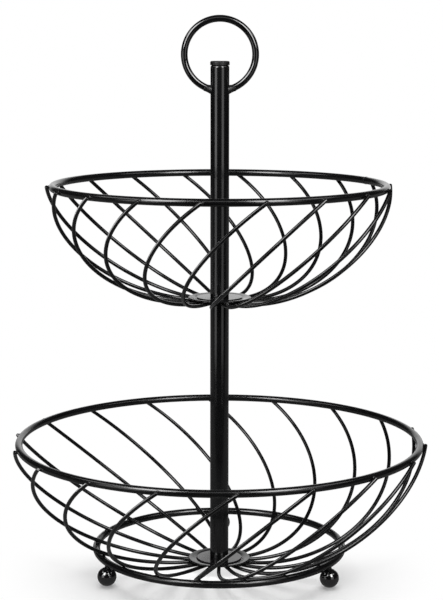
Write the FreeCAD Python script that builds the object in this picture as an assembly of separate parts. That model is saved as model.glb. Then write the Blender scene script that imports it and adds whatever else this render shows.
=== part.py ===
import FreeCAD, Part
import math
import os

# A two-tier wire basket: two round bowls of swirled wire on one screwed pole, with a ring handle.
# Millimetres, +Z up. The origin lies on the table, under the pole. The front is towards -Y.

# Wire bowls
lower_rim_diameter = 303.0
upper_rim_diameter = 248.5
rim_wire_diameter = 5.4
swirl_wire_diameter = 2.8
wires_per_bowl = 18
lower_bowl_depth = 93.4
upper_bowl_depth = 84.8
lower_swirl_angle = 45.2
upper_swirl_angle = 45.3
lower_tail_length = 24.9
upper_tail_length = 20.8
lower_first_wire_angle = -130.8
upper_first_wire_angle = -120.8
tail_spacing = 1.9
wire_end_overrun = 0.5
wire_end_round_share = 0.4
weld_gap = 0.05

# Round plates that the swirl wires are welded under
plate_diameter = 46.5
plate_thickness = 1.0
plate_crown_diameter = 33.0
plate_crown_rise = 0.8
plate_crown_slope = 0.9
plate_edge_bevel = 0.5

# Base ring and its ball feet
base_ring_diameter = 190.0
base_ring_wire_diameter = 5.4
foot_diameter = 14.0
foot_offset = 1.2
foot_names = ("front_left_foot", "front_right_foot", "rear_foot")
first_foot_angle = -151.0

# Pole
tube_diameter = 13.8
tube_wall = 0.9
tube_edge_round = 0.4
pole_top_round = 1.5
lower_tube_length = 197.7
upper_tube_length = 169.0

# Threaded inserts, stud and base screw
insert_length = 14.0
insert_clearance = 0.03
thread_diameter = 6.0
thread_clearance = 0.05
thread_end_gap = 2.0
thread_end_bevel = 0.6
hole_clearance = 0.3
washer_diameter = 14.0
washer_thickness = 0.8
screw_head_diameter = 11.0
screw_head_height = 2.4
screw_head_round = 0.8
screw_cross_length = 6.0
screw_cross_width = 1.2
screw_cross_depth = 1.4

# Cap in the top of the pole
cap_diameter = 14.1
cap_height = 3.0
cap_edge_round = 1.1
cap_stem_length = 10.0
cap_stem_wall = 1.4
cap_stem_clearance = 0.05

# Ring handle, welded to both sides of the pole
handle_diameter = 56.5
handle_wire_diameter = 5.0
handle_centre_above_tube = 7.6
handle_weld_length = 3.2
handle_weld_spread = 1.1
handle_end_share = 0.5

# Counts and settings
closing_rounds = 6
arc_samples = 2000
cut_overrun = 1.0
same_place = 0.01

up = FreeCAD.Vector(0, 0, 1)
centre = FreeCAD.Vector(0, 0, 0)

rim_wire_radius = rim_wire_diameter / 2
swirl_wire_radius = swirl_wire_diameter / 2
base_ring_wire_radius = base_ring_wire_diameter / 2
foot_radius = foot_diameter / 2
tube_radius = tube_diameter / 2
tube_bore_radius = tube_radius - tube_wall
thread_radius = thread_diameter / 2
insert_radius = tube_bore_radius - insert_clearance
insert_bore_radius = thread_radius + thread_clearance
plate_hole_radius = thread_radius + hole_clearance
tail_start = wires_per_bowl * (swirl_wire_diameter + tail_spacing) / (2 * math.pi)


class SwirlWire:
    """One swirled wire, with its straight tail along +X at height 0.

    From the end of the tail it bends up in one arc, in a plane that leans sideways, and ends against the
    outside of the rim.
    """

    def __init__(self, rim_diameter, depth, swirl_angle, tail):
        self.rim_radius = rim_diameter / 2 - rim_wire_radius
        self.depth = depth
        self.swirl = math.radians(swirl_angle)
        self.tail = tail
        seat = rim_wire_radius + swirl_wire_radius + weld_gap
        reach = self.rim_radius + seat
        for _ in range(closing_rounds):
            self.bend(reach)
            reach += seat - self.rim_distance()

    def bend(self, reach):
        """Sets the lean and the bend of a wire whose top stands this far from the pole's axis."""
        aside = reach * math.sin(self.swirl)
        self.climb = math.hypot(aside, self.depth)
        self.lean = FreeCAD.Vector(0, aside, self.depth) / self.climb
        run = reach * math.cos(self.swirl) - self.tail
        self.radius = (run ** 2 + self.climb ** 2) / (2 * self.climb)
        self.turn = math.atan2(run, self.radius - self.climb)
        self.end_turn = self.turn + wire_end_overrun / self.radius

    def point(self, angle):
        """The point of the wire's middle line at this angle of its bend."""
        along = self.tail + self.radius * math.sin(angle)
        climbed = self.radius * (1 - math.cos(angle))
        return FreeCAD.Vector(along, 0, 0) + self.lean * climbed

    def samples(self):
        """Points along the bend, each as distance from the pole's axis and height."""
        for step in range(arc_samples + 1):
            spot = self.point(self.end_turn * step / arc_samples)
            yield math.hypot(spot.x, spot.y), spot.z

    def rim_distance(self):
        """How near the wire's middle line comes to the rim's."""
        return min(math.hypot(out - self.rim_radius, high - self.depth) for out, high in self.samples())

    def height_of_ring_below(self, ring_radius, ring_wire_radius):
        """Height of a level ring that carries the wire from below."""
        seat = ring_wire_radius + swirl_wire_radius + weld_gap
        near = [(out - ring_radius, high) for out, high in self.samples() if abs(out - ring_radius) < seat]
        return min(high - math.sqrt(seat ** 2 - aside ** 2) for aside, high in near)

    def solid(self):
        """The wire itself, with its top end rounded off."""
        tail_line = Part.LineSegment(FreeCAD.Vector(tail_start, 0, 0), self.point(0))
        arc = Part.Arc(self.point(0), self.point(self.end_turn / 2), self.point(self.end_turn))
        path = Part.Wire([tail_line.toShape(), arc.toShape()])
        section = Part.Circle(FreeCAD.Vector(tail_start, 0, 0), FreeCAD.Vector(1, 0, 0), swirl_wire_radius)
        wire = path.makePipe(Part.Face(Part.Wire(section.toShape())))
        top = self.point(self.end_turn)
        end_edges = [edge for edge in wire.Edges if (edge.CenterOfMass - top).Length < same_place]
        return wire.makeFillet(swirl_wire_radius * wire_end_round_share, end_edges)


def save(node, shape):
    shape.exportStep(f"parts/{node}.step")


def revolved(outline):
    """A solid turned about the pole's axis from an outline of points (distance from axis, height)."""
    points = [FreeCAD.Vector(out, 0, high) for out, high in outline]
    face = Part.Face(Part.makePolygon(points + points[:1]))
    return face.revolve(centre, up, 360)


def rod(radius, bottom, top):
    return Part.makeCylinder(radius, top - bottom, FreeCAD.Vector(0, 0, bottom))


def rounded(solid, size, height):
    """The solid with its widest round edge at this height rounded off."""
    level = [edge for edge in solid.Edges if edge.BoundBox.ZLength < same_place]
    rims = [edge for edge in level if abs(edge.BoundBox.ZMin - height) < same_place]
    widest = max(rims, key=lambda edge: edge.BoundBox.XLength)
    return solid.makeFillet(size, [widest])


def ring(diameter, wire_diameter, height):
    """A level ring of round wire, sized over its outside."""
    return Part.makeTorus(diameter / 2 - wire_diameter / 2, wire_diameter / 2, FreeCAD.Vector(0, 0, height))


def plate(bottom):
    """A stamped round plate with a raised crown, a bevelled edge and a hole for the thread."""
    crown = plate_crown_diameter / 2
    edge = plate_diameter / 2
    flat_top = bottom + plate_thickness
    outline = [
        (plate_hole_radius, bottom + plate_crown_rise),
        (crown, bottom + plate_crown_rise),
        (crown + plate_crown_slope, bottom),
        (edge, bottom),
        (edge, flat_top - plate_edge_bevel),
        (edge - plate_edge_bevel, flat_top),
        (crown + plate_crown_slope, flat_top),
        (crown, flat_top + plate_crown_rise),
        (plate_hole_radius, flat_top + plate_crown_rise),
    ]
    return revolved(outline)


def tube(bottom, length, top_round):
    """One length of the pole, with the outer edges of both ends rounded."""
    top = bottom + length
    outside = rod(tube_radius, bottom, top)
    outside = rounded(outside, top_round, top)
    outside = rounded(outside, tube_edge_round, bottom)
    return outside.cut(rod(tube_bore_radius, bottom - cut_overrun, top + cut_overrun))


def insert(bottom):
    """A threaded plug pressed into a tube's end."""
    body = rod(insert_radius, bottom, bottom + insert_length)
    return body.cut(rod(insert_bore_radius, bottom - cut_overrun, bottom + insert_length + cut_overrun))


def threaded_rod(bottom, top, bevelled_ends):
    """A rod of the thread's size, with the named ends bevelled."""
    shank = rod(thread_radius, bottom, top)
    ends = [edge for edge in shank.Edges if edge.BoundBox.ZLength < same_place]
    chosen = [edge for edge in ends if any(abs(edge.BoundBox.ZMin - end) < same_place for end in bevelled_ends)]
    return shank.makeChamfer(thread_end_bevel, chosen)


def base_screw(seat, top):
    """A cross-head screw that holds the lower plate up against the pole."""
    under = seat - screw_head_height
    head = rounded(rod(screw_head_diameter / 2, under, seat), screw_head_round, under)
    screw = head.fuse(threaded_rod(seat - cut_overrun, top, [top]))
    half_length = screw_cross_length / 2
    half_width = screw_cross_width / 2
    for half_x, half_y in ((half_length, half_width), (half_width, half_length)):
        corner = FreeCAD.Vector(-half_x, -half_y, under - cut_overrun)
        slot = Part.makeBox(2 * half_x, 2 * half_y, cut_overrun + screw_cross_depth, corner)
        screw = screw.cut(slot)
    return screw.removeSplitter()


def washer(top):
    body = rod(washer_diameter / 2, top - washer_thickness, top)
    return body.cut(rod(plate_hole_radius, top - washer_thickness - cut_overrun, top + cut_overrun))


def top_cap(seat):
    """A moulded cap with a rounded head and a hollow stem inside the tube."""
    head = rounded(rod(cap_diameter / 2, seat, seat + cap_height), cap_edge_round, seat + cap_height)
    stem_radius = tube_bore_radius - cap_stem_clearance
    stem_bottom = seat - cap_stem_length
    stem = rod(stem_radius, stem_bottom, seat)
    hollow = rod(stem_radius - cap_stem_wall, stem_bottom - cut_overrun, seat)
    return head.fuse(stem).cut(hollow).removeSplitter()


def handle_ring(tube_top):
    """An upright ring, open where its two ends are welded to the sides of the pole."""
    wire_radius = handle_wire_diameter / 2
    middle_radius = handle_diameter / 2 - wire_radius
    middle = FreeCAD.Vector(0, 0, tube_top + handle_centre_above_tube)
    end_angle = math.asin(tube_radius / middle_radius)

    def spot(angle, side):
        """A point of the ring's middle line, by its angle from the bottom."""
        return middle + FreeCAD.Vector(side * math.sin(angle), 0, -math.cos(angle)) * middle_radius

    def outwards(angle, side):
        """The way along the ring, away from the pole."""
        return FreeCAD.Vector(side * math.cos(angle), 0, math.sin(angle))

    start_angle = end_angle * handle_end_share
    bend = Part.Arc(spot(start_angle, 1), spot(math.pi, 1), spot(start_angle, -1))
    section = Part.Circle(spot(start_angle, 1), outwards(start_angle, 1), wire_radius)
    wire = Part.Wire(bend.toShape()).makePipe(Part.Face(Part.Wire(section.toShape())))
    welds = []
    for side in (-1, 1):
        way = outwards(end_angle, side)
        root = spot(end_angle, side) - way * handle_weld_length
        root_radius = wire_radius + 2 * handle_weld_spread
        welds.append(Part.makeCone(root_radius, wire_radius, 2 * handle_weld_length, root, way))
    return wire.fuse(welds).cut(rod(tube_radius + weld_gap, 0, tube_top))


def save_bowl(name, wire, tail_height, first_wire_angle, rim_diameter):
    """Saves a bowl's rim, its plate and its swirl wires."""
    save(f"{name}_rim", ring(rim_diameter, rim_wire_diameter, tail_height + wire.depth))
    save(f"{name}_plate", plate(tail_height + swirl_wire_radius + weld_gap))
    first = wire.solid().translated(FreeCAD.Vector(0, 0, tail_height))
    for number in range(wires_per_bowl):
        turned = first.rotated(centre, up, first_wire_angle + 360 * number / wires_per_bowl)
        save(f"{name}_wire_{number + 1:02d}", turned)


os.makedirs("parts", exist_ok=True)

lower_wire = SwirlWire(lower_rim_diameter, lower_bowl_depth, lower_swirl_angle, lower_tail_length)
upper_wire = SwirlWire(upper_rim_diameter, upper_bowl_depth, upper_swirl_angle, upper_tail_length)

# Heights, stacked up from the table
foot_reach = foot_radius + base_ring_wire_radius + weld_gap
base_ring_height = foot_radius + math.sqrt(foot_reach ** 2 - foot_offset ** 2)
base_ring_radius = base_ring_diameter / 2 - base_ring_wire_radius
lower_tail_height = base_ring_height - lower_wire.height_of_ring_below(base_ring_radius, base_ring_wire_radius)
plate_above_tail = swirl_wire_radius + weld_gap
lower_crown_bottom = lower_tail_height + plate_above_tail + plate_crown_rise
lower_tube_bottom = lower_crown_bottom + plate_thickness
lower_tube_top = lower_tube_bottom + lower_tube_length
upper_tail_height = lower_tube_top - plate_crown_rise - plate_above_tail
upper_tube_bottom = lower_tube_top + plate_thickness
upper_tube_top = upper_tube_bottom + upper_tube_length

save_bowl("lower", lower_wire, lower_tail_height, lower_first_wire_angle, lower_rim_diameter)
save_bowl("upper", upper_wire, upper_tail_height, upper_first_wire_angle, upper_rim_diameter)

save("base_ring", ring(base_ring_diameter, base_ring_wire_diameter, base_ring_height))
foot_place = FreeCAD.Vector(base_ring_radius + foot_offset, 0, foot_radius)
for number, foot_name in enumerate(foot_names):
    foot_angle = first_foot_angle + 360 * number / len(foot_names)
    save(foot_name, Part.makeSphere(foot_radius, foot_place).rotated(centre, up, foot_angle))

save("lower_tube", tube(lower_tube_bottom, lower_tube_length, tube_edge_round))
save("lower_tube_bottom_insert", insert(lower_tube_bottom))
save("lower_tube_top_insert", insert(lower_tube_top - insert_length))
save("upper_tube", tube(upper_tube_bottom, upper_tube_length, pole_top_round))
save("upper_tube_insert", insert(upper_tube_bottom))

thread_reach = insert_length - thread_end_gap
stud_bottom = lower_tube_top - thread_reach
stud_top = upper_tube_bottom + thread_reach
save("joining_stud", threaded_rod(stud_bottom, stud_top, [stud_bottom, stud_top]))
save("base_washer", washer(lower_crown_bottom))
save("base_screw", base_screw(lower_crown_bottom - washer_thickness, lower_tube_bottom + thread_reach))
save("top_cap", top_cap(upper_tube_top))
save("handle_ring", handle_ring(upper_tube_top))

print(f"Lower bowl's tails at {lower_tail_height:.2f}, rim at {lower_tail_height + lower_bowl_depth:.2f}")
print(f"Upper bowl's tails at {upper_tail_height:.2f}, rim at {upper_tail_height + upper_bowl_depth:.2f}")
print(f"Base ring at {base_ring_height:.2f}, pole's top at {upper_tube_top + cap_height:.2f}")
print(f"Bends of {lower_wire.radius:.1f} and {upper_wire.radius:.1f}")
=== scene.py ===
# %% [markdown]
# # A two-tier wire basket
#
# The basket is black coated steel: two bowls of swirled wire on one pole, with a ring handle above
# and ball feet below. Its construction is already modelled to size, so this lesson gives it its looks:
# a camera, a white studio, coats for the steel, and the welds that hold the wires.

# %% [markdown]
# ## The finished construction
#
# Every piece arrives at its real size, in metres, with its place in its mesh. It could be modelled again
# here, but the looks have to stay true to what moves and fits, so it is loaded and never moved.

# %% Load the basket
import math
import random

import bmesh
import bpy
from mathutils import Matrix, Vector


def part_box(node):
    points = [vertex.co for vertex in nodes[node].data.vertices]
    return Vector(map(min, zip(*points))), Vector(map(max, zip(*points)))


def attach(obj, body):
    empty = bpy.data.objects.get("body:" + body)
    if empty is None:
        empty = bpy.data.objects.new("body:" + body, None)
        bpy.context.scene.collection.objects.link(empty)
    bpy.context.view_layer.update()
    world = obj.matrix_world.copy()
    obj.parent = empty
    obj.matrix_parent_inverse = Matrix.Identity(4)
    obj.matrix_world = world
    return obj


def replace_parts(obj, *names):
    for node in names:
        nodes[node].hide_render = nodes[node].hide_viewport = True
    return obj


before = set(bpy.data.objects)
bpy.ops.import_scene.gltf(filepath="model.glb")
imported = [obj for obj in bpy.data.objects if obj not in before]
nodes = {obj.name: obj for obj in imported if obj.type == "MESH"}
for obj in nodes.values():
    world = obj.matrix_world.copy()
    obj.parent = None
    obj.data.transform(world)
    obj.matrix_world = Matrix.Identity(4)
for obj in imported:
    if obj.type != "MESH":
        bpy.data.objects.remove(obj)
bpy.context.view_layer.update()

# %% [markdown]
# ## The camera
#
# The picture was taken from the front with a long lens, a little above the upper bowl, so the rims show
# as flat ellipses. A camera could be aimed by eye. Here its place and tilt are the ones that lay the two
# rims, the base ring and the pole on the picture.

# %% Camera
camera_place = Vector((0, -1.2293, 0.3992))
camera_tilt = math.radians(9.024)
camera_turn = math.radians(0.066)
camera_roll = math.radians(0.100)
lens_length = 101.3
sensor_side = 36.0

camera_data = bpy.data.cameras.new("camera")
camera_data.lens = lens_length
camera_data.sensor_width = sensor_side
camera = bpy.data.objects.new("camera", camera_data)
camera.matrix_world = (
    Matrix.Translation(camera_place)
    @ Matrix.Rotation(-camera_turn, 4, "Z")
    @ Matrix.Rotation(math.pi / 2 - camera_tilt, 4, "X")
    @ Matrix.Rotation(camera_roll, 4, "Z")
)
scene = bpy.context.scene
scene.collection.objects.link(camera)
scene.camera = camera
scene.view_settings.view_transform = "Standard"
print(f"camera {camera_place.length:.2f} m away, {lens_length} mm lens")

# %% [markdown]
# ## Shader nodes in one call each
#
# A finish is a small graph of shader nodes. Adding and linking each by hand takes many lines, so one
# helper adds a node and fills its sockets with numbers, colours or the outputs of other nodes.

# %% Node helpers
def add_node(tree, kind, sockets=(), **settings):
    """Adds one shader node; a socket takes a value or another node's output."""
    node = tree.nodes.new(kind)
    for name, value in settings.items():
        setattr(node, name, value)
    for name, value in dict(sockets).items():
        if isinstance(value, bpy.types.NodeSocket):
            tree.links.new(value, node.inputs[name])
        else:
            node.inputs[name].default_value = value
    return node


def empty_tree(owner):
    """The node tree of a material or world, with nothing in it."""
    owner.use_nodes = True
    owner.node_tree.nodes.clear()
    return owner.node_tree


print("node helpers ready")

# %% [markdown]
# ## The white studio
#
# Behind the basket is white paper, and the room in front of it is dark, so the black coat shows thin
# bright lines and not an even grey. A wall could stand behind the basket, but it would hide it from other
# sides. The world does the same: white to the camera, and to reflections a white patch at the back. For
# that, its shader asks what kind of ray has met it.

# %% Ray helpers
def seen_directly(tree):
    """Two switches: 1 for rays from the camera, and 1 for mirror and glass rays."""
    path = add_node(tree, "ShaderNodeLightPath")
    shiny = add_node(
        tree, "ShaderNodeMath",
        {0: path.outputs["Is Glossy Ray"], 1: path.outputs["Is Transmission Ray"]},
        operation="MAXIMUM",
    )
    return path.outputs["Is Camera Ray"], shiny.outputs[0]


def either(tree, switch, off, on):
    """One shader where a switch is 0, and another where it is 1."""
    return add_node(tree, "ShaderNodeMixShader", {0: switch, 1: off, 2: on}).outputs[0]


def eased(tree, value, start, end, low, high):
    """A smooth step from low to high as the value goes from start to end."""
    return add_node(
        tree, "ShaderNodeMapRange",
        {"Value": value, "From Min": start, "From Max": end, "To Min": low, "To Max": high},
        interpolation_type="SMOOTHSTEP",
    ).outputs[0]


print("ray helpers ready")

# %% World
pure_white = (1, 1, 1, 1)
paper_way = Vector((0.08, 1, 0)).normalized()
paper_edge = 0.84
paper_full = 0.95
paper_level = 1.0
room_level = 0.012
fill_level = 0.40


def white_sky(tree, level):
    """An even white background; its level is a number or a pattern."""
    return add_node(tree, "ShaderNodeBackground", {"Color": pure_white, "Strength": level}).outputs[0]


world = bpy.data.worlds.new("studio")
scene.world = world
tree = empty_tree(world)
to_camera, to_shine = seen_directly(tree)
direction = add_node(tree, "ShaderNodeTexCoord").outputs["Generated"]
facing = add_node(
    tree, "ShaderNodeVectorMath", {0: direction, 1: paper_way}, operation="DOT_PRODUCT",
).outputs["Value"]
paper = eased(tree, facing, paper_edge, paper_full, room_level, paper_level)
soft_or_shine = either(tree, to_shine, white_sky(tree, fill_level), white_sky(tree, paper))
any_ray = either(tree, to_camera, soft_or_shine, white_sky(tree, paper_level))
add_node(tree, "ShaderNodeOutputWorld", {"Surface": any_ray})
print(f"world is white to the camera, and {room_level} of white in front to reflections")

# %% [markdown]
# ## The floor
#
# The table is white too, and keeps only the soft shadow near the feet. A plain white plane would turn
# grey with distance, so its diffuse part, which catches the shadow, fades into even white further out.
# Under the bowl a painted pool of light makes it glow white, though no lamp is there.

# %% Floor
floor_radius = 3.0
floor_segments = 96

shape = bmesh.new()
bmesh.ops.create_circle(shape, cap_ends=True, segments=floor_segments, radius=floor_radius)
floor_mesh = bpy.data.meshes.new("floor")
shape.to_mesh(floor_mesh)
shape.free()
floor = bpy.data.objects.new("floor", floor_mesh)
scene.collection.objects.link(floor)
print(f"floor {2 * floor_radius} m across")

# %% Table paint
shadow_reach = 0.07
shadow_end = 0.17
shadow_back = 0.05
floor_white = 0.80
floor_glow = 0.10
# painted pool of light: a round patch of the table under the bowl glows white
painted_pool_middle = Vector((0, 0.05, 0))
painted_pool_edge = 0.082
painted_pool_end = 0.096
painted_pool_glow = 0.60

paint = bpy.data.materials.new("white_table")
floor_mesh.materials.append(paint)
tree = empty_tree(paint)
place = add_node(tree, "ShaderNodeTexCoord").outputs["Object"]
distance = add_node(tree, "ShaderNodeVectorMath", {0: place}, operation="LENGTH").outputs["Value"]
backward = add_node(tree, "ShaderNodeSeparateXYZ", {0: place}).outputs["Y"]
beyond = eased(tree, distance, shadow_reach, shadow_end, 0, 1)
behind = eased(tree, backward, -shadow_back, shadow_back, 0, 1)
far = add_node(tree, "ShaderNodeMath", {0: beyond, 1: behind}, operation="MAXIMUM").outputs[0]
# painted light: inside a circle under the bowl the table's glow rises to white, a painted pool of light
from_painted_pool = add_node(
    tree, "ShaderNodeVectorMath", {0: place, 1: painted_pool_middle}, operation="DISTANCE",
).outputs["Value"]
painted_light_pool = eased(tree, from_painted_pool, painted_pool_edge, painted_pool_end, painted_pool_glow, floor_glow)
table_grey = (floor_white, floor_white, floor_white, 1)
table = add_node(tree, "ShaderNodeBsdfDiffuse", {"Color": table_grey}).outputs[0]
# the table's even glow plus the painted pool of light under the bowl
table_glow_and_painted_pool = add_node(tree, "ShaderNodeEmission", {"Strength": painted_light_pool}).outputs[0]
lit_table_and_painted_pool = add_node(tree, "ShaderNodeAddShader", {0: table, 1: table_glow_and_painted_pool}).outputs[0]
print(f"shadow kept within {shadow_end} m of the pole")

# %% [markdown]
# In the coat's reflections the table is dim near the basket and dark in front, where the room is. Without
# that, every wire would mirror it and turn grey.

# %% Floor in reflections
table_front = -0.34
table_fade = 0.20
table_mirror = 0.17

to_camera, to_shine = seen_directly(tree)
mirrored = eased(tree, backward, table_front, table_front + table_fade, room_level, table_mirror)
even = add_node(tree, "ShaderNodeEmission", {"Strength": paper_level}).outputs[0]
dim = add_node(tree, "ShaderNodeEmission", {"Strength": mirrored}).outputs[0]
near_or_far = either(tree, far, lit_table_and_painted_pool, even)
soft_or_shine = either(tree, to_shine, table, dim)
any_ray = either(tree, to_camera, soft_or_shine, near_or_far)
add_node(tree, "ShaderNodeOutputMaterial", {"Surface": any_ray})
print(f"table mirrored at {table_mirror} of white")

# %% [markdown]
# ## The softboxes
#
# Each bright line in the coat is the mirror image of a light, so the lines tell where the lights stood.
# The pole's two upright lines come from low boxes on the left and right, the short lines on the ring handle
# and the spots on the ball feet from two bright boxes higher up in front, and the thin line along the rims
# from a dim band above them. These boxes are flagged off the table, so that it stays white.

# %% Softbox helpers
flagged = bpy.data.collections.new("flagged")
flagged.objects.link(floor)
flagged.collection_objects[0].light_linking.link_state = "EXCLUDE"


def softbox(name, place, aim, width, height, watts):
    """A rectangle of even light at a place, turned to face a point and flagged off the table."""
    data = bpy.data.lights.new(name, "AREA")
    data.shape = "RECTANGLE"
    data.size = width
    data.size_y = height
    data.energy = watts
    lamp = bpy.data.objects.new(name, data)
    turn = (aim - place).to_track_quat("-Z", "Y").to_matrix().to_4x4()
    lamp.matrix_world = Matrix.Translation(place) @ turn
    lamp.visible_camera = False
    lamp.light_linking.receiver_collection = flagged
    scene.collection.objects.link(lamp)
    return lamp


def around(angle, distance, height):
    """A place at an angle in degrees from the camera's side, positive to the right."""
    turn = math.radians(angle)
    return Vector((distance * math.sin(turn), -distance * math.cos(turn), height))


print("softboxes ready to place")

# %% Softboxes
middle = Vector((0, 0, 0.2))
strip_away = 0.80
strip_wide = 0.38
strip_tall = 0.22
upper_strip = 0.33
lower_strip = 0.11
front_away = 0.77
front_up = 0.73
front_tall = 0.58
band_away = 0.95
band_up = 1.05
band_wide = 0.95
band_tall = 0.30

for side, angle, upper_watts, lower_watts in (("left", -49, 0.54, 0.30), ("right", 36, 0.36, 0.19)):
    for box, up, watts in (("strip", upper_strip, upper_watts), ("foot", lower_strip, lower_watts)):
        place = around(angle, strip_away, up)
        softbox(f"{side}_{box}", place, Vector((0, 0, up)), strip_wide, strip_tall, watts)
for side, angle, wide, watts in (("left", -39, 0.34, 8.0), ("right", 33, 0.32, 7.4)):
    softbox(f"{side}_front", around(angle, front_away, front_up), middle, wide, front_tall, watts)
for angle, watts in ((-70, 2.6), (-2, 1.2), (62, 2.4)):
    softbox("band", around(angle, band_away, band_up), middle, band_wide, band_tall, watts)
print(f"{len(bpy.data.lights)} softboxes in the coat")

# %% [markdown]
# A long low box on the left draws the fine lines along the front wires, and is flagged off everything else,
# because it would turn the back wires grey. A last large light overhead casts the shadow on the table, and
# is kept out of the coat.

# %% Light for the front wires and the shadow
front_wires = bpy.data.collections.new("front_wires")
for name, node in nodes.items():
    low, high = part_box(name)
    if "_wire_" in name and low.y + high.y < 0:
        front_wires.objects.link(node)
edge_place = around(angle=-98, distance=0.85, height=0.20)
edge_light = softbox("left_edge", edge_place, middle, width=0.90, height=0.34, watts=6.5)
edge_light.light_linking.receiver_collection = front_wires

overhead_place = Vector((0, 0.45, 1.30))
overhead = softbox("overhead", overhead_place, middle, width=1.80, height=1.20, watts=21.0)
overhead.visible_glossy = False
overhead.light_linking.receiver_collection = None

# %% [markdown]
# ## The black coats
#
# Powder is baked onto the steel as a satin black skin. It is never quite even: it has a fine dimpled
# surface like orange peel, its shine drifts a little, and its black is slightly deeper where the film is
# thick. One flat colour would look like plastic, so three sizes of noise drive the colour, the roughness
# and a shallow bump. Thin wire, thick rings and tubes take the powder differently, so each has its own grain.

# %% Patterns
pattern_low = 0.3
pattern_high = 0.7


def noise(tree, size, detail=2.0):
    """A soft pattern on the piece's own coordinates, with features of about that size."""
    place = add_node(tree, "ShaderNodeTexCoord").outputs["Object"]
    return add_node(
        tree, "ShaderNodeTexNoise", {"Vector": place, "Scale": 1 / size, "Detail": detail},
    ).outputs["Fac"]


def ranged(tree, value, low, high):
    """A pattern's middle range spread from one value to another."""
    return add_node(
        tree, "ShaderNodeMapRange",
        {"Value": value, "From Min": pattern_low, "From Max": pattern_high, "To Min": low, "To Max": high},
    ).outputs[0]


def blend(tree, amount, first, second):
    """A colour between two others; the Mix node has its colours in sockets 6 and 7."""
    return add_node(
        tree, "ShaderNodeMix", {0: amount, 6: (*first, 1), 7: (*second, 1)}, data_type="RGBA",
    ).outputs[2]


def mottled(tree, pattern, first, second):
    """A colour that wanders between two others with a pattern."""
    return blend(tree, ranged(tree, pattern, 0, 1), first, second)


def bumpy(tree, height, depth):
    """A surface pressed in and out by a pattern, to a depth in metres."""
    return add_node(tree, "ShaderNodeBump", {"Height": height, "Distance": depth}).outputs[0]


def surface(tree, **sockets):
    """The shader itself, with its sockets named by words joined with underscores."""
    named = {name.replace("_", " "): value for name, value in sockets.items()}
    shader = add_node(tree, "ShaderNodeBsdfPrincipled", named)
    add_node(tree, "ShaderNodeOutputMaterial", {"Surface": shader.outputs[0]})


print("patterns ready")

# %% Powder coats
deep_black = (0.0015, 0.0015, 0.0016)
thin_black = (0.0030, 0.0030, 0.0032)
film_patch = 0.03
peels_per_patch = 6
fine_detail = 4.0


def powder_coat(name, peel, peel_depth, smoothest, roughest, index):
    """Satin black powder coat; peel is the size of its dimples, and its shine drifts in patches of them."""
    material = bpy.data.materials.new(name)
    tree = empty_tree(material)
    surface(
        tree,
        Base_Color=mottled(tree, noise(tree, film_patch), deep_black, thin_black),
        Roughness=ranged(tree, noise(tree, peel * peels_per_patch, fine_detail), smoothest, roughest),
        Normal=bumpy(tree, noise(tree, peel), peel_depth),
        IOR=index,
    )
    return material


finishes = {
    "wire_coat": powder_coat(
        "black_wire_coat", peel=0.0009, peel_depth=0.000002, smoothest=0.12, roughest=0.18, index=1.43,
    ),
    "ring_coat": powder_coat(
        "black_ring_coat", peel=0.0011, peel_depth=0.0000015, smoothest=0.17, roughest=0.22, index=1.53,
    ),
    "pole_coat": powder_coat(
        "black_pole_coat", peel=0.0014, peel_depth=0.0000025, smoothest=0.11, roughest=0.16, index=1.6,
    ),
}
print(", ".join(finishes))

# %% [markdown]
# ## The plates
#
# The plates are stamped from sheet, and the press leaves faint rings around the middle that the coat only
# half hides. They could be cut into the mesh, but they are far finer than a pixel, so a ring-shaped wave
# adds them to the bump.

# %% Plate coat
press_ring = 0.0011
press_waver = 1.5
wave_radians = 20  # what the Wave node turns through in one unit
wave_scale = 2 * math.pi / (wave_radians * press_ring)

material = bpy.data.materials.new("black_plate_coat")
tree = empty_tree(material)
place = add_node(tree, "ShaderNodeTexCoord").outputs["Object"]
rings = add_node(
    tree, "ShaderNodeTexWave",
    {"Vector": place, "Scale": wave_scale, "Distortion": press_waver, "Detail": 2.0},
    wave_type="RINGS", rings_direction="Z",
).outputs["Fac"]
peel = noise(tree, size=0.0012)
pressed = add_node(tree, "ShaderNodeMath", {0: rings, 1: peel}, operation="ADD").outputs[0]
surface(
    tree,
    Base_Color=mottled(tree, noise(tree, size=0.02), deep_black, thin_black),
    Roughness=ranged(tree, noise(tree, size=0.006, detail=fine_detail), low=0.12, high=0.18),
    Normal=bumpy(tree, pressed, depth=0.000002),
    IOR=1.6,
)
finishes["plate_coat"] = material
print("plates: press rings", press_ring, "m apart")

# %% [markdown]
# ## The ball feet
#
# The balls are glossier than the wire: they are dipped, so the wet film levels out. Gloss alone would
# look like glass, so a wide, shallow wave bends its mirror images, and the black is a little deeper
# towards the table.

# %% Foot gloss
foot_low, foot_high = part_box("rear_foot")

material = bpy.data.materials.new("black_foot_gloss")
tree = empty_tree(material)
place = add_node(tree, "ShaderNodeTexCoord").outputs["Object"]
height = add_node(tree, "ShaderNodeSeparateXYZ", {0: place}).outputs["Z"]
risen = add_node(
    tree, "ShaderNodeMapRange", {"Value": height, "From Min": foot_low.z, "From Max": foot_high.z},
).outputs[0]
surface(
    tree,
    Base_Color=blend(tree, risen, deep_black, thin_black),
    Roughness=ranged(tree, noise(tree, size=0.004, detail=fine_detail), low=0.03, high=0.05),
    Normal=bumpy(tree, noise(tree, size=0.003), depth=0.000006),
    IOR=1.95,
)
finishes["foot_gloss"] = material
print(f"balls {foot_high.z - foot_low.z:.4f} m")

# %% [markdown]
# ## The cap
#
# The cap in the top of the pole is moulded plastic with an etched, matte skin, so it is a shade lighter than
# the coat and has no lines of light. A fine grain gives the etching, and a soft mottle the wear of handling.

# %% Cap plastic
fresh_plastic = (0.0025, 0.0025, 0.0025)
worn_plastic = (0.005, 0.005, 0.0052)
grain_detail = 3.0

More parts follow.
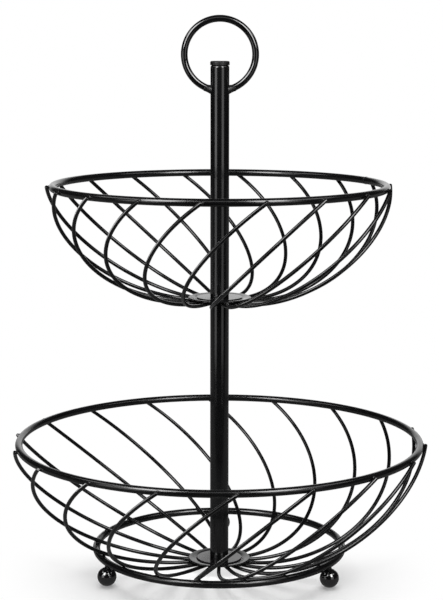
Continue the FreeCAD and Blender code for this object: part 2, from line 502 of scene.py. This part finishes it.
material = bpy.data.materials.new("black_cap_plastic")
tree = empty_tree(material)
surface(
    tree,
    Base_Color=mottled(tree, noise(tree, size=0.004, detail=grain_detail), fresh_plastic, worn_plastic),
    Roughness=ranged(tree, noise(tree, size=0.002, detail=grain_detail), low=0.40, high=0.50),
    Normal=bumpy(tree, noise(tree, size=0.0005, detail=grain_detail), depth=0.00001),
    IOR=1.35,
)
finishes["cap_plastic"] = material
print("cap is matte")

# %% [markdown]
# ## Zinc on the hidden fittings
#
# The screw, its washer, the stud and the threaded plugs are zinc-plated: a bluish bare metal with a fine
# crystalline mottle. A metal has no diffuse colour of its own, so the mottle varies tint and roughness.

# %% Zinc
blue_zinc = (0.50, 0.52, 0.55)
bright_zinc = (0.66, 0.67, 0.68)

material = bpy.data.materials.new("zinc_plating")
tree = empty_tree(material)
crystals = noise(tree, size=0.0012, detail=grain_detail)
surface(
    tree,
    Base_Color=mottled(tree, crystals, blue_zinc, bright_zinc),
    Roughness=ranged(tree, crystals, low=0.26, high=0.42),
    Normal=bumpy(tree, crystals, depth=0.000004),
    Metallic=1.0,
)
finishes["zinc_fittings"] = material
print("zinc for the fittings")

# %% [markdown]
# ## Dressing the pieces
#
# Each piece names the finish it should have, so they are dressed in one go.

# %% Dress
for node in nodes.values():
    slot = node.data.materials[0].name
    node.material_slots[0].material = finishes[slot]
print(f"{len(nodes)} pieces dressed")

# %% [markdown]
# ## Weld metal
#
# Nothing but welds holds the bowls together. Two wires are pressed together while a current melts them
# where they touch, and a little metal is squeezed out around the spot and coated over with the rest. It
# could be modelled into the wires, but it lies in the corner between them, so each spot gets its own
# squashed, uneven drop. The powder gathers in such corners and bakes rougher, so the drops have a duller
# coat.

# %% Drops
mm = 0.001
seed = 7
unevenness = 0.08
drop_rounds = 2
chance = random.Random(seed)
weld_coat = powder_coat(
    "black_weld_coat", peel=0.0008, peel_depth=0.000004, smoothest=0.34, roughest=0.46, index=1.42,
)


def drop(shape, place, along, outward, sizes):
    """Adds a squashed drop; sizes are its half lengths along, across and outward, in mm."""
    across = outward.cross(along).normalized()
    axes = Matrix((across.cross(outward), across, outward)).transposed().to_4x4()
    squash = [size * mm * chance.uniform(1 - unevenness, 1 + unevenness) for size in sizes]
    made = bmesh.ops.create_icosphere(shape, subdivisions=drop_rounds, radius=1.0)["verts"]
    for vertex in made:
        vertex.co *= chance.uniform(1 - unevenness, 1)
    laid = Matrix.Translation(place) @ axes @ Matrix.Diagonal(squash + [1])
    bmesh.ops.transform(shape, matrix=laid, verts=made)


print(f"drops uneven by {unevenness:.0%}")

# %% Coated pieces
def coated_piece(name, shape, body, coat=weld_coat):
    """Turns a shape into a closed, coated piece that rides on a body."""
    bmesh.ops.holes_fill(shape, edges=[edge for edge in shape.edges if edge.is_boundary], sides=0)
    bmesh.ops.recalc_face_normals(shape, faces=shape.faces)
    for face in shape.faces:
        face.smooth = True
    mesh = bpy.data.meshes.new(name)
    shape.to_mesh(mesh)
    shape.free()
    mesh.materials.append(coat)
    piece = bpy.data.objects.new(name, mesh)
    scene.collection.objects.link(piece)
    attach(piece, body)
    print(f"{name}: {len(mesh.polygons)} faces")
    return piece


print("pieces ready to coat")

# %% [markdown]
# A wire touches a ring where it comes nearest to the ring's middle line, so that is where its drop goes:
# on the outside of the rims, and on top of the base ring.

# %% Welds on a ring
def ring_line(node):
    """Radius and height of a level ring's middle line, and the radius of its wire."""
    low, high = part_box(node)
    wire_radius = (high.z - low.z) / 2
    return (high.x - low.x) / 2 - wire_radius, (high.z + low.z) / 2, wire_radius


def weld_on_ring(shape, line, toward, sizes):
    """Adds a drop to the surface of a ring's wire, on the side that faces a point."""
    radius, height, wire_radius = line
    flat = Vector((toward.x, toward.y, 0)).normalized()
    core = flat * radius + Vector((0, 0, height))
    outward = (toward - core).normalized()
    drop(shape, core + outward * wire_radius, Vector((-flat.y, flat.x, 0)), outward, sizes)


for ring in ("upper_rim", "lower_rim", "base_ring"):
    print(f"{ring}: wire {2 * ring_line(ring)[2]:.4f} m thick")

# %% Ring welds
ring_drop = (1.8, 1.6, 0.6)


def ring_welds(name, wires, ring, body):
    """A drop wherever one of the wires touches the ring."""
    line = ring_line(ring)
    radius, height, _ = line

    def gap(vertex):
        return math.hypot(math.hypot(vertex.co.x, vertex.co.y) - radius, vertex.co.z - height)

    shape = bmesh.new()
    for wire in wires:
        nearest = min(nodes[wire].data.vertices, key=gap).co
        weld_on_ring(shape, line, nearest, ring_drop)
    coated_piece(name, shape, body)


lower_wires = [name for name in nodes if name.startswith("lower_wire")]
upper_wires = [name for name in nodes if name.startswith("upper_wire")]
ring_welds("lower_rim_welds", lower_wires, "lower_rim", "stand")
ring_welds("upper_rim_welds", upper_wires, "upper_rim", "upper_basket")
ring_welds("base_ring_welds", lower_wires, "base_ring", "stand")

# %% [markdown]
# The straight tails of the wires are welded under the border of the plates, and the balls under the base
# ring. A ball meets the ring on a wider spot, so its drop is larger.

# %% Plate welds
plate_drop = (2.2, 1.5, 0.5)
tail_share = 0.75  # of the plate's radius, within which a wire is straight
weld_share = 0.87  # of the plate's radius, where the weld sits


def plate_welds(name, wires, plate, body):
    """A drop between each wire's tail and the plate above it."""
    low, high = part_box(plate)
    edge = (high.x - low.x) / 2
    shape = bmesh.new()
    for wire in wires:
        vertices = [vertex.co for vertex in nodes[wire].data.vertices]
        tail = [place for place in vertices if math.hypot(place.x, place.y) < tail_share * edge]
        middle_of_tail = sum(tail, Vector()) / len(tail)
        flat = Vector((middle_of_tail.x, middle_of_tail.y, 0)).normalized()
        spot = flat * edge * weld_share + Vector((0, 0, low.z))
        drop(shape, spot, flat, Vector((0, 0, -1)), plate_drop)
    coated_piece(name, shape, body)


plate_welds("lower_plate_welds", lower_wires, "lower_plate", "stand")
plate_welds("upper_plate_welds", upper_wires, "upper_plate", "upper_basket")

# %% Foot welds
foot_drop = (3.2, 2.5, 1.2)

shape = bmesh.new()
for foot in ("front_left_foot", "front_right_foot", "rear_foot"):
    low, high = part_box(foot)
    weld_on_ring(shape, ring_line("base_ring"), (low + high) / 2, foot_drop)
coated_piece("foot_welds", shape, "stand")

# %% [markdown]
# ## The dished plates
#
# The press also dishes the border of each plate: it rises in a shallow curve from the step around the crown
# to the outer edge, so its far side looks dark and its near side bright. A flat border would be one even
# grey. The plate's profile is drawn once with that curve and spun around the pole.

# %% Lathe
def turned(shape, line, middle, axis, steps, closed=False):
    """Turns a line of points once around an axis, as on a lathe."""
    points = [shape.verts.new(point) for point in line]
    following = points[1:] + points[:1] if closed else points[1:]
    edges = [shape.edges.new(pair) for pair in zip(points, following)]
    bmesh.ops.spin(
        shape, geom=points + edges, cent=middle, axis=axis, angle=2 * math.pi, steps=steps, use_merge=True,
    )


print("lathe ready")

# %% Plates
plate_thick = 1.0 * mm
plate_hole = 3.3 * mm
plate_crown = 16.5 * mm
crown_rise = 0.8 * mm
crown_slope = 0.9 * mm
edge_bevel = 0.5 * mm
border_rise = 0.72 * mm
border_steps = 6
plate_segments = 96
crease = math.radians(20)


def dished_plate(name, plate, body):
    """The plate of a node with its border dished; it keeps the node's size."""
    low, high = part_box(plate)
    edge = (high.x - low.x) / 2
    foot = plate_crown + crown_slope

    def border(share, lift):
        rise = border_rise * (1 - (1 - share) ** 2)
        return foot + (edge - foot) * share, low.z + rise + lift

    bevelled = 1 - edge_bevel / (edge - foot)
    line = [(plate_hole, low.z + crown_rise), (plate_crown, low.z + crown_rise)]
    line += [border(step / border_steps, 0) for step in range(border_steps + 1)]
    line.append(border(1, plate_thick - edge_bevel))
    line += [border(bevelled * step / border_steps, plate_thick) for step in range(border_steps, -1, -1)]
    line += [(plate_crown, high.z), (plate_hole, high.z)]
    shape = bmesh.new()
    profile = [Vector((0, -out, up)) for out, up in line]
    turned(shape, profile, Vector((0, 0, 0)), Vector((0, 0, 1)), plate_segments, closed=True)
    piece = coated_piece(name, shape, body, finishes["plate_coat"])
    piece.data.set_sharp_from_angle(angle=crease)
    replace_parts(piece, plate)


dished_plate("dished_lower_plate", "lower_plate", "stand")
dished_plate("dished_upper_plate", "upper_plate", "upper_basket")

# %% [markdown]
# ## The ring handle
#
# The handle is one wire bent into a ring, and its two ends are brazed to the sides of the pole. The braze
# runs up the wire in a hollow curve, which straight cones would turn into bright facets. So the ring is made
# again here: a circle spun around the ring's middle, with its ends hidden in the pole. Its coat is smoother
# than the rims', because its lines of light are sharper.

# %% Handle
handle_coat = powder_coat(
    "black_handle_coat", peel=0.0011, peel_depth=0.000003, smoothest=0.08, roughest=0.12, index=1.6,
)
handle_wire_radius = 2.5 * mm
handle_spare = 0.001 * mm  # keeps the ring within the construction's height
handle_steps = 120
wire_segments = 24

low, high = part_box("handle_ring")
tube_low, tube_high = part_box("upper_tube")
outer = (high.x - low.x) / 2
bend = outer - handle_wire_radius
ring_middle = Vector((0, 0, high.z - outer - handle_spare))
meeting = math.asin((tube_high.x - tube_low.x) / 2 / bend)
hidden = meeting / 2


def on_bend(angle):
    """A point of the ring's middle line, by its angle from the bottom."""
    return ring_middle + Vector((math.sin(angle), 0, -math.cos(angle))) * bend


shape = bmesh.new()
end = Matrix.Translation(on_bend(hidden)) @ Matrix.Rotation(math.pi / 2 - hidden, 4, "Y")
bmesh.ops.create_circle(shape, segments=wire_segments, radius=handle_wire_radius, matrix=end)
bmesh.ops.spin(
    shape, geom=shape.verts[:] + shape.edges[:], cent=ring_middle, axis=(0, 1, 0),
    angle=2 * (hidden - math.pi), steps=handle_steps,
)
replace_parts(coated_piece("bent_handle", shape, "upper_post", handle_coat), "handle_ring")

# %% [markdown]
# The braze is a collar around each end of the wire: thick at the pole, and drawn out along the wire in a
# hollow curve until it meets it.

# %% Handle brazes
braze_start = -2.5 * mm
braze_end = 4.5 * mm
braze_rise = 1.5 * mm
braze_steps = 8

shape = bmesh.new()
for side in (-1, 1):
    root = on_bend(side * meeting)
    way = Vector((side * math.cos(meeting), 0, math.sin(meeting)))
    line = []
    for step in range(braze_steps + 1):
        share = step / braze_steps
        along = way * (braze_start + (braze_end - braze_start) * share)
        line.append(root + along + Vector((0, handle_wire_radius + braze_rise * (1 - share) ** 2, 0)))
    turned(shape, line, root, way, wire_segments)
coated_piece("handle_brazes", shape, "upper_post")

# %% [markdown]
# ## The rim's seam
#
# The upper rim is one wire bent round and welded end to end. The seam shows at the back on the right as a low
# collar. A curved profile spun around the rim's own middle line makes it.

# %% Rim seam
seam_angle = math.radians(24)
seam_half = 0.9 * mm
seam_rise = 0.30 * mm
seam_sink = 0.05 * mm
seam_steps = 6

radius, height, wire_radius = ring_line("upper_rim")
flat = Vector((math.cos(seam_angle), math.sin(seam_angle), 0))
along = Vector((-flat.y, flat.x, 0))
core = flat * radius + Vector((0, 0, height))
line = []
for step in range(seam_steps + 1):
    share = 2 * step / seam_steps - 1
    lift = wire_radius - seam_sink + seam_rise * (1 - share ** 2)
    line.append(core + along * share * seam_half + Vector((0, 0, lift)))
shape = bmesh.new()
turned(shape, line, core, along, wire_segments)
coated_piece("upper_rim_seam", shape, "upper_basket")
